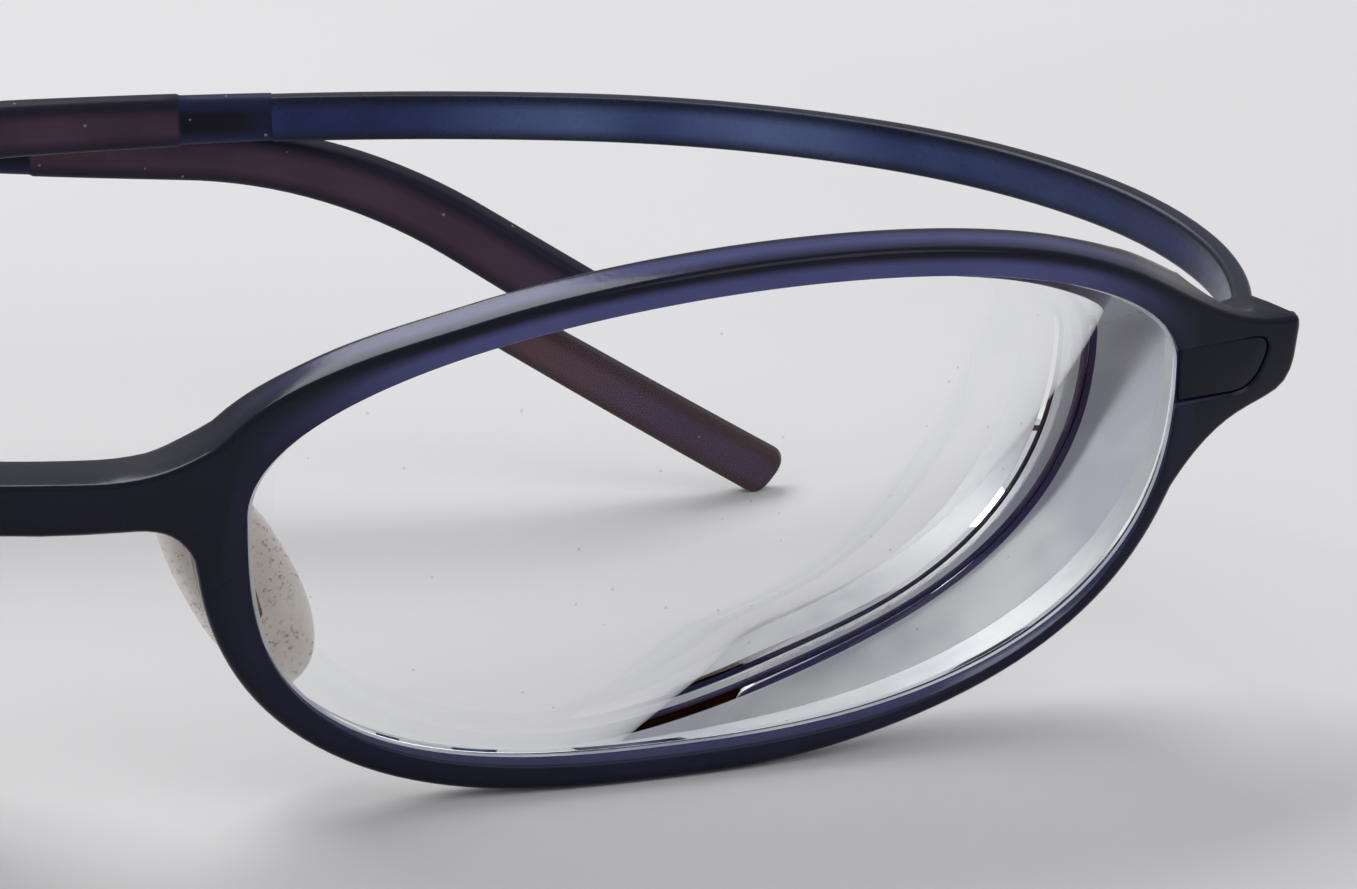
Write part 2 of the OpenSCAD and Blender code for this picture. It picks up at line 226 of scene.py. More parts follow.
class TemplePath:
    """The outer face of one temple, followed in small steps from the front."""

    def __init__(self, side):
        self.side = side
        self.swing = RIGHT_SWING if side < 0 else 0.0
        self.sag = RIGHT_SAG if side < 0 else 0.0

    def slope(self, s):
        """How steeply the path goes down at distance s, in radians."""
        bend = min(max((s - BEND_START) / BEND_RADIUS * 180 / math.pi, 0), BEND_ANGLE)
        return math.radians(bend + self.sag * (1 - ease(s, BEND_START - SAG_FADE, BEND_START)))

    def place(self, s):
        """Point, outward direction and upward direction at distance s."""
        point, flat, walked = ROOT.copy(), 0.0, 0.0
        while True:
            step = min(PATH_STEP, s - walked)
            turn = math.radians(curl_at(flat) - self.swing)
            slope = self.slope(walked)
            if step < 1e-6:
                break
            level, down = math.cos(slope), math.sin(slope)
            point += step * Vector((-math.sin(turn) * level, math.cos(turn) * level, -down))
            flat += step * level
            walked += step
        out = Vector((math.cos(turn), math.sin(turn), 0))
        down = math.sin(slope)
        up = Vector((-math.sin(turn) * down, math.cos(turn) * down, math.cos(slope)))
        return point, out, up

    def ring(self, s, section):
        """The corners of a cross-section, set across the path at distance s."""
        point, out, up = self.place(s)
        return [on_table(point + out * a + up * b, self.side) for a, b in section]


CORNER_STEPS = 4
SIDE_POINTS = 3
LEAST_FLAT = 0.001


def rounded_section(inner, outer, height, radius):
    """Rounded rectangle from inner to outer, as (outwards, up) pairs, with more points up each side."""
    points = []
    radius = min(radius, (outer - inner) / 2 - LEAST_FLAT, height / 2 - LEAST_FLAT)
    low, high = radius - height / 2, height / 2 - radius
    for x, z, start in ((outer - radius, high, 0), (inner + radius, high, 90),
                        (inner + radius, low, 180), (outer - radius, low, 270)):
        for k in range(CORNER_STEPS + 1):
            a = math.radians(start + 90 * k / CORNER_STEPS)
            points.append((x + radius * math.cos(a), z + radius * math.sin(a)))
        if start in (90, 270):
            x, z = points[-1]
            points += [(x, z - 2 * z * k / (SIDE_POINTS + 1)) for k in range(1, SIDE_POINTS + 1)]
    return points


def mark(piece, name, amount):
    """Marks each corner with amount(rank, step), 0 to 1, for the piece's material."""
    layer = piece.data.attributes.new(name, "FLOAT", "POINT")
    rank, step = piece.data.attributes["rank"].data, piece.data.attributes["step"].data
    for k in range(len(piece.data.vertices)):
        layer.data[k].value = amount(rank[k].value, step[k].value)


def mark_painted_light_middle(piece, section):
    """Marks how near each corner is to the middle of the height, where light is painted in as if the thin
    plastic let it through; towards the edges above and below the colour turns to painted shade.
    """
    high = max(up for _, up in section)
    mark(piece, "middle", lambda rank, step: 1 - ease(abs(section[rank][1]) / high, 0.3, 0.95))


# Modelling helpers

def deselect():
    if bpy.context.object and bpy.context.object.mode != "OBJECT":
        bpy.ops.object.mode_set(mode="OBJECT")
    bpy.ops.object.select_all(action="DESELECT")


def choose(obj, test):
    """Selects the corners for which test(corner) holds, with the edges and faces between them."""
    edit = bmesh.from_edit_mesh(obj.data)
    for part in (edit.faces, edit.edges, edit.verts):
        for item in part:
            item.select = False
    for corner in edit.verts:
        corner.select = test(corner)
    edit.select_flush_mode()
    bmesh.update_edit_mesh(obj.data)


def pull_through(name, rings):
    """Starts from a circle, and extrudes it through the rings one after the other. An end ring that is one
    point closes to a point, and any other gets a face. Each corner keeps its number in the ring as "rank"
    and the number of the ring as "step"."""
    deselect()
    bpy.ops.mesh.primitive_circle_add(vertices=len(rings[0]), radius=0.01)
    obj = bpy.context.object
    obj.name = obj.data.name = name
    bpy.ops.object.mode_set(mode="EDIT")
    bpy.ops.mesh.select_mode(type="VERT")
    bpy.ops.mesh.select_all(action="SELECT")
    edit = bmesh.from_edit_mesh(obj.data)
    rank = edit.verts.layers.int.new("rank")
    edit.verts.layers.int.new("step")
    edit.verts.ensure_lookup_table()
    for k, corner in enumerate(edit.verts):
        corner[rank] = k
        corner.co = rings[0][k]
    bmesh.update_edit_mesh(obj.data)
    for number, ring in enumerate(rings[1:], 1):
        bpy.ops.mesh.extrude_region_move()
        edit = bmesh.from_edit_mesh(obj.data)
        rank, step = edit.verts.layers.int["rank"], edit.verts.layers.int["step"]
        for corner in edit.verts:
            if corner.select:
                corner[step] = number
                corner.co = ring[corner[rank]]
        bmesh.update_edit_mesh(obj.data)
    for end in (rings[0], rings[-1]):
        if (end[0] - end[1]).length > TOUCHING:
            choose(obj, lambda corner: any((corner.co - p).length < SAME for p in end))
            bpy.ops.mesh.edge_face_add()
    bpy.ops.mesh.select_all(action="SELECT")
    bpy.ops.mesh.remove_doubles(threshold=TOUCHING)
    bpy.ops.mesh.normals_make_consistent(inside=False)
    bpy.ops.object.mode_set(mode="OBJECT")
    return obj


def use_modifier(obj, kind, **settings):
    deselect()
    obj.select_set(True)
    bpy.context.view_layer.objects.active = obj
    modifier = obj.modifiers.new(kind.lower(), kind)
    for key, value in settings.items():
        setattr(modifier, key, value)
    bpy.ops.object.modifier_apply(modifier=modifier.name)


def smooth_faces(obj, degrees):
    deselect()
    obj.select_set(True)
    bpy.context.view_layer.objects.active = obj
    bpy.ops.object.shade_smooth_by_angle(angle=math.radians(degrees))


# Materials

class Value:
    """A number socket that can be used in Python sums."""

    def __init__(self, finish, socket):
        self.finish = finish
        self.socket = socket

    def _sum(self, operation, a, b):
        return self.finish.node("ShaderNodeMath", {"operation": operation}, {0: a, 1: b}).value(0)

    def __sub__(self, other):
        return self._sum("SUBTRACT", self, other)

    def __rsub__(self, other):
        return self._sum("SUBTRACT", other, self)

    def __mul__(self, other):
        return self._sum("MULTIPLY", self, other)

    def __rmul__(self, other):
        return self._sum("MULTIPLY", other, self)


class Placed:
    """A node in a finish: its outputs by name or number."""

    def __init__(self, finish, made):
        self.finish = finish
        self.made = made

    def value(self, name):
        return Value(self.finish, self.made.outputs[name])

    def out(self, name):
        return self.made.outputs[name]


class Finish:
    """One material and its nodes."""

    def __init__(self, name):
        self.material = bpy.data.materials.new(name)
        self.material.use_nodes = True
        self.tree = self.material.node_tree
        self.tree.nodes.clear()
        self.place = self.node("ShaderNodeTexCoord").out("Object")

    def node(self, kind, settings=None, inputs=None):
        """Makes one node: its settings first, then the values or links of its sockets."""
        made = self.tree.nodes.new(kind)
        for key, value in (settings or {}).items():
            setattr(made, key, value)
        for key, value in (inputs or {}).items():
            socket = made.inputs[key]
            if isinstance(value, Value):
                self.tree.links.new(value.socket, socket)
            elif isinstance(value, bpy.types.NodeSocket):
                self.tree.links.new(value, socket)
            else:
                socket.default_value = value
        return Placed(self, made)

    def noise(self, size, detail, roughness=0.5):
        """Soft random pattern, 0 to 1, whose features are about `size` metres across."""
        return self.node("ShaderNodeTexNoise", {}, {"Vector": self.place, "Scale": 1 / size,
                                                    "Detail": detail, "Roughness": roughness}).value("Fac")

    def attribute(self, name):
        """A mark that the piece's corners carry, 0 to 1."""
        return self.node("ShaderNodeAttribute", {"attribute_name": name}).value("Fac")

    def specks(self, spacing, share):
        """Sparse small dots, 1 inside them, in about a third of the cells `spacing` metres across."""
        cells = self.node("ShaderNodeTexVoronoi", {}, {"Vector": self.place, "Scale": 1 / spacing})
        chance = self.node("ShaderNodeSeparateColor", {}, {0: cells.out("Color")}).value(0)
        empty = self.between(chance, 0, 1, 0.3, 0.34)
        outside = self.between(cells.value("Distance"), 0, 1, share * 0.7, share)
        return (1 - outside) * (1 - empty)

    def between(self, value, low, high, from_low=0.0, from_high=1.0):
        """Goes from low to high while the value goes from from_low to from_high."""
        sockets = {0: value, 1: from_low, 2: from_high, 3: low, 4: high}
        return self.node("ShaderNodeMapRange", {}, sockets).value(0)

    def mix(self, factor, a, b):
        return self.node("ShaderNodeMix", {"data_type": "RGBA"}, {0: factor, 6: a, 7: b}).out(2)

    def bump(self, height, distance, strength):
        sockets = {"Height": height, "Distance": distance, "Strength": strength}
        return self.node("ShaderNodeBump", {}, sockets).out(0)

    def done(self, **inputs):
        """Ends the material in one shader that has these values and links."""
        sockets = {key.replace("_", " "): value for key, value in inputs.items()}
        shader = self.node("ShaderNodeBsdfPrincipled", {}, sockets).out(0)
        self.node("ShaderNodeOutputMaterial", {}, {"Surface": shader})
        return self.material


def rgb(r, g, b):
    """A colour given as it looks, 0 to 255, as the shader's linear values."""
    def linear(c):
        c /= 255
        return c / 12.92 if c <= 0.04045 else ((c + 0.055) / 1.055) ** 2.4
    return (linear(r), linear(g), linear(b), 1.0)


NYLON_INDEX = 1.5
SILICONE_INDEX = 1.41
SMOOTH_GRAIN = 0.000012
RUBBER_GRAIN = 0.00003
SILICONE_GRAIN = 0.00005
GRAIN_STRENGTH = 0.6


def navy_plastic():
    """Polished dark nylon of the front, with light painted into its colour: a lit violet-blue where the glow
    mark is set, painted in as light shining through where the upper rims are thin, as a painted reflection
    on their top and as painted light inside the lens groove.
    """
    f = Finish("front navy nylon")
    cloud = f.noise(0.006, 2)
    fine = f.noise(0.0004, 3)
    painted_glow = f.attribute("painted_glow")
    dark = f.mix(cloud, rgb(7, 7, 21), rgb(14, 13, 36))
    # Painted light: lit violet-blue copies of the navy, laid on by the glow mark
    painted_lit = f.mix(cloud, rgb(58, 61, 106), rgb(82, 86, 134))
    return f.done(Base_Color=f.mix(painted_glow, dark, painted_lit), Roughness=f.between(fine, 0.12, 0.22), IOR=NYLON_INDEX,
                  Specular_IOR_Level=0.2, Normal=f.bump(fine, SMOOTH_GRAIN, GRAIN_STRENGTH))


def blue_plastic():
    """Satin deep blue elastic nylon of the temples, with painted shade darker along both edges and painted
    light, as if shining through, cloudy between them and palest halfway along."""
    f = Finish("temple blue nylon")
    cloud = f.between(f.noise(0.012, 2), 0, 1, 0.35, 0.65)
    fine = f.noise(0.0005, 3)
    # Painted shade darkens the edges; painted light, as if shining through, makes the middle paler and
    # palest halfway along
    edge = f.mix(cloud, rgb(10, 14, 34), rgb(16, 24, 48))
    deep = f.mix(cloud, rgb(20, 28, 74), rgb(38, 52, 98))
    pale = f.mix(cloud, rgb(50, 64, 112), rgb(88, 102, 148))
    middle = f.mix(f.attribute("light"), deep, pale)
    return f.done(Base_Color=f.mix(f.attribute("middle"), edge, middle), IOR=NYLON_INDEX,
                  Specular_IOR_Level=0.2, Roughness=f.between(fine, 0.22, 0.36),
                  Normal=f.bump(fine, SMOOTH_GRAIN, GRAIN_STRENGTH))


def purple_rubber():
    """Matte purple-black soft rubber of the tips, brown in the bend and violet towards the end, with pale
    specks of dust; over the blade's tongue it looks blue, with the tongue as a dark core."""
    f = Finish("tip purple rubber")
    cloud = f.noise(0.007, 3)
    fine = f.noise(0.0003, 4)
    edge = f.mix(cloud, rgb(16, 12, 31), rgb(26, 20, 43))
    brown = f.mix(cloud, rgb(40, 26, 44), rgb(86, 64, 78))
    violet = f.mix(cloud, rgb(24, 24, 56), rgb(48, 46, 92))
    # Painted shade darkens the upper and lower edges; the middle of the height is lighter with painted light
    colour = f.mix(f.attribute("middle"), edge, f.mix(f.attribute("far"), brown, violet))
    colour = f.mix(f.attribute("sleeve"), colour, f.mix(cloud, rgb(18, 24, 52), rgb(30, 38, 74)))
    colour = f.mix(f.attribute("core"), colour, rgb(7, 8, 18))
    colour = f.mix(f.specks(0.0011, 0.11), colour, rgb(120, 114, 122))
    return f.done(Base_Color=colour, IOR=NYLON_INDEX, Specular_IOR_Level=0.18,
                  Roughness=f.between(fine, 0.4, 0.6), Normal=f.bump(fine, RUBBER_GRAIN, GRAIN_STRENGTH))


def clear_lens():
    """Clear lens plastic with a thin coating against reflections and a little fine dust on it."""
    f = Finish("lens clear")
    dust = f.specks(0.0016, 0.075) * 0.5
    colour = f.mix(dust, (0.985, 0.99, 0.992, 1), (0.3, 0.3, 0.32, 1))
    return f.done(Base_Color=colour, Roughness=0.0, IOR=LENS_INDEX, Transmission_Weight=1.0,
                  Thin_Film_Thickness=106.0, Thin_Film_IOR=1.29)


def ground_edge():
    """The matte ground edge of a lens, cloudy between white and bluish grey."""
    f = Finish("lens ground edge")
    cloud = f.between(f.noise(0.008, 2), 0, 1, 0.38, 0.62)
    colour = f.mix(cloud, (0.6, 0.63, 0.73, 1), (0.95, 0.96, 0.97, 1))
    return f.done(Base_Color=colour, Roughness=0.5, IOR=LENS_INDEX, Transmission_Weight=0.6)


def dusty_silicone():
    """Cloudy soft silicone of the nose pads, speckled with dust."""
    f = Finish("pad beige silicone")
    cloud = f.noise(0.0025, 3)
    fine = f.noise(0.0004, 5, 0.7)
    colour = f.mix(cloud, rgb(248, 243, 237), rgb(228, 220, 212))
    grains = f.between(fine, 0, 0.6, 0.54, 0.62) * f.between(cloud, 0, 1, 0.35, 0.6)
    colour = f.mix(grains, colour, rgb(124, 114, 106))
    return f.done(Base_Color=colour, Roughness=f.between(fine, 0.35, 0.6), IOR=SILICONE_INDEX,
                  Normal=f.bump(fine, SILICONE_GRAIN, 0.7), Subsurface_Weight=0.6,
                  Subsurface_Radius=(0.0035, 0.003, 0.0026), Subsurface_Scale=1.0)


def pale_table():
    """Nearly white table, a little uneven in tone."""
    f = Finish("table pale")
    cloud = f.noise(0.06, 2)
    colour = f.mix(cloud, rgb(214, 212, 211), rgb(220, 218, 218))
    return f.done(Base_Color=colour, Roughness=0.75, IOR=1.4)


NAVY = navy_plastic()
BLUE = blue_plastic()
PURPLE = purple_rubber()
CLEAR = clear_lens()
FROSTED = ground_edge()
BEIGE = dusty_silicone()


def dress(obj, material):
    obj.data.materials.clear()
    obj.data.materials.append(material)


def fit(piece, body, node):
    """Says which body a piece moves with, and hides the CAD node it replaces."""
    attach(piece, body)
    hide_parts(node)


# Front. Corners of the outline are numbered round the lens, every 2 degrees from its outer side over the
# top: the bridge grows from the rim between NASAL_TOP and NASAL_LOW, and the end between OUTER_LOW and
# OUTER_TOP. The end starts as two lines, which a face joins as far as JOINED_ROW, and its block closes
# from BLOCK_ROW on. Each swell of the rim is how much, where, and how far to both sides in degrees

RIM_WIDTH = 1.75
RIM_SWELLS = ((-0.15, 262, 60), (1.15, 174, 36), (-0.95, -28, 65))
RIM_DEPTH = 2.7
END_DEPTH = 3.5
END_EDGE_DEPTH = 1.0
BRIDGE_DEPTH = 3.8
BRIDGE_WAIST_RADIUS = 41.0
BRIDGE_BACK_RADIUS = 44.2
BRIDGE_BACK_REACH = 5.7
BRIDGE_SIDE = 16
GROOVE_FROM, GROOVE_TO, GROOVE_DEEP = 1.36, 2.14, 0.39
GROOVE_WALL = 0.01
BLOCK_CENTRE = ROOT_X - 0.7
BLOCK_RADIUS = 4.0
PANEL_OUT, PANEL_TOP, PANEL_LOW = 32.75, 5.85, 2.25
POCKET_IN, PANEL_IN, SLOT_IN, TENON_IN = 24.8, 26.9, 28.5, 28.55
AROUND = 180
NASAL_TOP, NASAL_LOW = 81, 96
OUTER_LOW, OUTER_TOP = 168, 18
MIDDLE_ROW, OUTER_ROW = 1, 2
JOINED_ROW = 9
BLOCK_ROW = 15
EYE_CENTRE = Vector((EYE_X, face_depth(EYE_X, EYE_HEIGHT), EYE_HEIGHT))
EYE_BACK = rotate_z(rotate_x((0, 1, 0), EYE_LEAN), WRAP)
STRAIGHT_BACK = Vector((0, 1, 0))

EDGE_RADIUS = 0.45
LENS_EDGE_RADIUS = 0.2
RIM_EDGE_RADIUS = 0.42
END_EDGE_RADIUS = 0.38
BLOCK_BACK_RADIUS = 0.2
BACK_ROUNDING = 0.8


def swell(angle, centre, half):
    """1 at the angle centre, falling smoothly to 0 at `half` degrees to both sides."""
    away = abs((angle - centre + 540) % 360 - 180)
    return 0.5 + 0.5 * math.cos(math.pi * away / half) if away < half else 0.0


def rim_width(degrees):
    """Wide beside the nose, thin at the lower outer side."""
    u, v = eye_point(degrees)
    angle = math.degrees(math.atan2(v, u))
    width = RIM_WIDTH
    for extra, centre, half in RIM_SWELLS:
        width += extra * swell(angle, centre, half)
    return width


def curve(p0, p1, p2, p3, shares):
    """Points of a smooth curve from p0 to p3, drawn towards p1 and p2."""
    points = []
    for t in shares:
        s = 1 - t
        points.append([s ** 3 * a + 3 * s * s * t * b + 3 * s * t * t * c + t ** 3 * d
                       for a, b, c, d in zip(p0, p1, p2, p3)])
    return points


def even(first, last, count):
    """Evenly spaced numbers from first to last."""
    return [first + (last - first) * k / (count - 1) for k in range(count)]


def onto_face(u, v, deep=0.0):
    """The place straight behind (u, v) of the eye that lies `deep` behind the face of the front."""
    d = 0.0
    for _ in range(12):
        place = rotate_z(rotate_x((u, d, v), EYE_LEAN), WRAP) + EYE_CENTRE
        d -= (place.y - face_depth(place.x, place.z)) / EYE_BACK.y
    return place + EYE_BACK * deep


def bridge_depth(x):
    """How thick the bridge is, x from the middle: hollow behind, then rounded down to the rims."""
    hollow = BRIDGE_DEPTH + BRIDGE_WAIST_RADIUS - math.sqrt(BRIDGE_WAIST_RADIUS ** 2 - x * x)
    round_back = BRIDGE_BACK_REACH - BRIDGE_BACK_RADIUS + math.sqrt(BRIDGE_BACK_RADIUS ** 2 - x * x)
    return min(hollow, round_back) - (FACE_RADIUS - math.sqrt(FACE_RADIUS ** 2 - x * x))


def front_depth(place):
    """How thick the front is behind a place on its face: in the bridge, the rim, the neck or the block."""
    x, z = place.x, place.z
    if x < BRIDGE_SIDE:
        extra = bridge_depth(min(x, BRIDGE_SIDE / 2)) - RIM_DEPTH
        return RIM_DEPTH + extra * (1 - ease(x, 5, BRIDGE_SIDE - 0.5)) * ease(z, 12, 18.5)
    if x < BLOCK_CENTRE:
        return RIM_DEPTH + (END_DEPTH - RIM_DEPTH) * ease(x, ROOT_X - 10, ROOT_X - 3.5)
    rounded = math.sqrt(max(BLOCK_RADIUS ** 2 - (x - BLOCK_CENTRE) ** 2, 0))
    reach = face_depth(ROOT_X, ROOT_Z) + 0.2 + rounded
    return min(max(reach - face_depth(x, z), END_EDGE_DEPTH), END_DEPTH)


def is_free_rim(k):
    """Whether neither the bridge nor the end grows from the rim there."""
    return OUTER_TOP <= k <= NASAL_TOP or NASAL_LOW <= k <= OUTER_LOW


def front_spots():
    """Every corner of the left half's face by number and row: its place, the way back from it and the depth
    there. Row 0 is the lens opening, row 1 the middle of the rim, row 2 its outer line, and later rows lead
    along the bridge and the end."""
    spots = {}

    def at_rim(key, u, v, straighter=0.0):
        place = onto_face(u, v)
        spots[key] = (place, EYE_BACK.lerp(STRAIGHT_BACK, straighter), front_depth(place))

    for k in range(AROUND):
        a = 360 * k / AROUND
        at_rim((k, 0), *eye_point(a))
        at_rim((k, MIDDLE_ROW), *eye_point(a, min(0.5 * rim_width(a), 0.85)))
        if is_free_rim(k):
            near_bridge = ease(k, NASAL_TOP - 14, NASAL_TOP) * (1 - ease(k, NASAL_LOW, NASAL_LOW + 14))
            at_rim((k, OUTER_ROW), *eye_point(a, rim_width(a)), 0.24 * near_bridge)

    # The bridge's upper and lower edge, from the rim to the middle, across and up from the table
    top = curve((3, 22.5), (7.5, 22.6), (9.5, 24.2), (14.2, 27.3), even(9 / 14, 0, 10))
    top += [(1.5, 22.5), (0, 22.5)]
    low = curve((9.4, 13.3), (8.3, 18.6), (7.6, 19.65), (4.6, 19.4), even(5 / 14, 1, 10))
    low += [(2.3, 19.3), (0, 19.25)]
    for j, ends in enumerate(zip(top, low), OUTER_ROW + 1):
        turned = EYE_BACK.lerp(STRAIGHT_BACK, min(0.3 + 0.12 * (j - OUTER_ROW - 1), 1))
        for k, (x, z) in zip((NASAL_TOP, NASAL_LOW), ends):
            place = Vector((x, face_depth(x, z), z))
            spots[k, j] = (place, turned, front_depth(place))

    # The end's upper and lower edge, measured from the outermost point of the lens opening
    u0, v0 = LENS_WIDTH / 2, OUTER_AT
    rim_u, rim_v = eye_point(360 * OUTER_TOP / AROUND, rim_width(360 * OUTER_TOP / AROUND))
    upper = curve((rim_u - u0, rim_v - v0), (-0.4, 5.5), (3, 1.5), (7.45, 1.2), even(1 / 14, 1, 14))
    upper += [(7.57, 1.18), (7.73, 1.13), (7.85, 1.02), (7.92, 0.85), (7.95, 0.5)]
    shares = even(2 / 14, 5.5 / 14, 7) + even(6.5 / 14, 1, 6)
    lower = curve((-1, -9.6), (1.6, -5.1), (3.3, -4.3), (5.4, -3.75), shares)
    lower += curve((5.9, -3.6), (7, -3.3), (7.6, -2.8), (7.78, -1.2), (0, 0.25, 0.5, 0.75, 0.9, 1))
    for j, ends in enumerate(zip(upper, lower), OUTER_ROW + 1):
        for k, (u, v) in zip((OUTER_TOP, OUTER_LOW), ends):
            at_rim((k, j), u0 + u, v0 + v)
    return spots


def make_sheet(spots):
    """Half of the front's face: the ring round the eye, then the bridge and the end, edge by edge."""
    deselect()
    bpy.ops.mesh.primitive_circle_add(vertices=AROUND, radius=LENS_WIDTH / 2 * MM)
    front = bpy.context.object
    front.name = front.data.name = "front"
    bpy.ops.object.mode_set(mode="EDIT")
    bpy.ops.mesh.select_mode(type="VERT")
    edit = bmesh.from_edit_mesh(front.data)
    rank = edit.verts.layers.int.new("rank")
    for name in ("row", "step"):
        edit.verts.layers.int.new(name)
    edit.verts.ensure_lookup_table()
    for k, corner in enumerate(edit.verts):
        corner[rank] = k
        corner.co = on_table(spots[k, 0][0])

    def pull(to_row):
        """Extrudes what is selected to its spots in the next row."""
        bpy.ops.mesh.extrude_region_move()
        edit = bmesh.from_edit_mesh(front.data)
        rank, row = edit.verts.layers.int["rank"], edit.verts.layers.int["row"]
        for corner in edit.verts:
            if corner.select:
                corner[row] = to_row
                corner.co = on_table(spots[corner[rank], to_row][0])
        bmesh.update_edit_mesh(front.data)

    def take(test):
        """Selects the corners whose number and row pass the test."""
        edit = bmesh.from_edit_mesh(front.data)
        rank, row = edit.verts.layers.int["rank"], edit.verts.layers.int["row"]
        choose(front, lambda corner: test(corner[rank], corner[row]))

    def fill():
        """Closes the gap between the selected edges with triangles."""
        bpy.ops.mesh.edge_face_add()
        bpy.ops.mesh.quads_convert_to_tris(ngon_method="BEAUTY")

    rows_on_bridge = max(r for k, r in spots if k == NASAL_TOP)
    rows_on_end = max(r for k, r in spots if k == OUTER_TOP)
    bpy.ops.mesh.select_all(action="SELECT")
    pull(MIDDLE_ROW)
    take(lambda k, r: r == MIDDLE_ROW and is_free_rim(k))
    pull(OUTER_ROW)

    bridge, end = (NASAL_TOP, NASAL_LOW), (OUTER_TOP, OUTER_LOW)
    take(lambda k, r: r == MIDDLE_ROW and NASAL_TOP <= k <= NASAL_LOW or r == OUTER_ROW and k in bridge)
    fill()
    take(lambda k, r: r == OUTER_ROW and k in bridge)
    for r in range(OUTER_ROW + 1, rows_on_bridge + 1):
        pull(r)

    for r in range(OUTER_ROW + 1, JOINED_ROW + 1):
        for line in end:
            take(lambda k, row: k == line and row == r - 1)
            pull(r)
    take(lambda k, r: r == MIDDLE_ROW and (k <= OUTER_TOP or k >= OUTER_LOW)
         or OUTER_ROW <= r <= JOINED_ROW and k in end)
    fill()
    take(lambda k, r: r == JOINED_ROW and k in end)
    for r in range(JOINED_ROW + 1, rows_on_end + 1):
        pull(r)
    return front


# Steps from the face to the back: depth and width of the groove at the lens opening, where None is the
# full depth, and the share of the full depth elsewhere
DEPTH_STEPS = ((GROOVE_FROM, 0.0, 0.5), (GROOVE_FROM + GROOVE_WALL, GROOVE_DEEP, 0.56),
               (GROOVE_TO - GROOVE_WALL, GROOVE_DEEP, 0.73), (GROOVE_TO, 0.0, 0.79), (None, 0.0, 1.0))
BACK_STEP = len(DEPTH_STEPS)


def thicken(front, spots):
    """Pulls the face back to its full depth in steps, leaving the groove for the lens round the opening."""
    bpy.ops.mesh.select_all(action="SELECT")
    for step, (deep, grow, share) in enumerate(DEPTH_STEPS, 1):
        bpy.ops.mesh.extrude_region_move()
        edit = bmesh.from_edit_mesh(front.data)
        rank, row, layer = [edit.verts.layers.int[name] for name in ("rank", "row", "step")]
        for corner in edit.verts:
            if corner.select:
                corner[layer] = step
                place, back, depth = spots[corner[rank], corner[row]]
                if corner[row] == 0 and grow:
                    place = onto_face(*eye_point(360 * corner[rank] / AROUND, grow))
                in_groove = corner[row] == 0 and deep is not None
                corner.co = on_table(place + back * (deep if in_groove else depth * share))
        bmesh.update_edit_mesh(front.data)
    edit = bmesh.from_edit_mesh(front.data)
    bmesh.ops.recalc_face_normals(edit, faces=edit.faces)
    bmesh.update_edit_mesh(front.data)
    choose(front, lambda corner: abs(corner.co.x) < ON_MIDDLE)
    bpy.ops.mesh.delete(type="ONLY_FACE")
    bpy.ops.mesh.select_all(action="SELECT")
    bpy.ops.mesh.delete_loose(use_verts=False, use_edges=True, use_faces=False)


def soften(front):
    """Gives each outline its own edge radius: small at the lens, larger outside."""
    edit = bmesh.from_edit_mesh(front.data)
    numbers = edit.edges.layers.float
    weight = numbers.get("bevel_weight_edge") or numbers.new("bevel_weight_edge")
    rank, row, layer = [edit.verts.layers.int[name] for name in ("rank", "row", "step")]
    for edge in edit.edges:
        a, b = edge.verts
        if a[layer] != b[layer] or a[layer] not in (0, BACK_STEP) or len(edge.link_faces) != 2:
            continue
        if edge.calc_face_angle() < math.radians(35):
            continue
        if a[row] == 0 and b[row] == 0:
            radius = LENS_EDGE_RADIUS
        elif max(a[row], b[row]) <= OUTER_ROW:
            k = a[rank] if a[row] == OUTER_ROW else b[rank]
            radius = min(RIM_EDGE_RADIUS, 0.45 * rim_width(360 * k / AROUND))
        elif a[layer] == BACK_STEP and min(a[row], b[row]) >= BLOCK_ROW:
            radius = BLOCK_BACK_RADIUS
        else:
            radius = END_EDGE_RADIUS
        edge[weight] = radius / EDGE_RADIUS * (1.0 if a[layer] == 0 else BACK_ROUNDING)
    bmesh.update_edit_mesh(front.data)


def panel_outline(inner, grow):
    """The panel on the end, from `inner` on its inner side, `grow` larger all round."""
    out, top, low = PANEL_OUT, PANEL_TOP, PANEL_LOW
    shares = even(0, 1, 9)
    upper = curve((out - 1.3, top - 0.2 + grow), (out + grow, top - 0.25 + grow),
                  (out + 0.1 + grow, top - 1), (out - 0.2 + grow, top - 1.8), shares)
    lower = curve((out - 0.5 + grow, low + 1.1), (out - 1.1 + grow, low + 0.1 - grow),
                  (out - 1.7, low - grow), (out - 2.6, low + 0.1 - grow), shares)
    return [(inner - grow, top + 0.25 + grow)] + upper + lower + [(inner - grow, low + 0.4 - grow)]


def through_panel(name, side, stops):
    """A body with the panel's outline, pulled through stops behind the face: depth, inner side and grow."""
    rings = []
    for deep, inner, grow in stops:
        rings.append([on_table(onto_face(u, v, deep), side) for u, v in panel_outline(inner, grow)])
    return pull_through(name, rings)


def make_scoop(side):
    """The hollow behind the top of the neck, in front of the blade."""
    x, z, radius = ROOT_X - 2.0, ROOT_Z + 2.15, 3.8
    y = face_depth(x, z) + 1.5 + radius
    rings = []
    for up, shrink in ((0, 0.3), (0.1, 0.1), (0.3, 0), (8, 0)):
        places = []
        for k in range(64):
            a = math.radians(360 / 64 * k)
            c, s = math.cos(a), math.sin(a)
            floor = z + 0.09 * radius * (1 + c)
            place = Vector((x + (radius - shrink) * c, y + (radius - shrink) * s, floor + up))
            places.append(on_table(place, side))
        rings.append(places)
    return pull_through("scoop", rings)


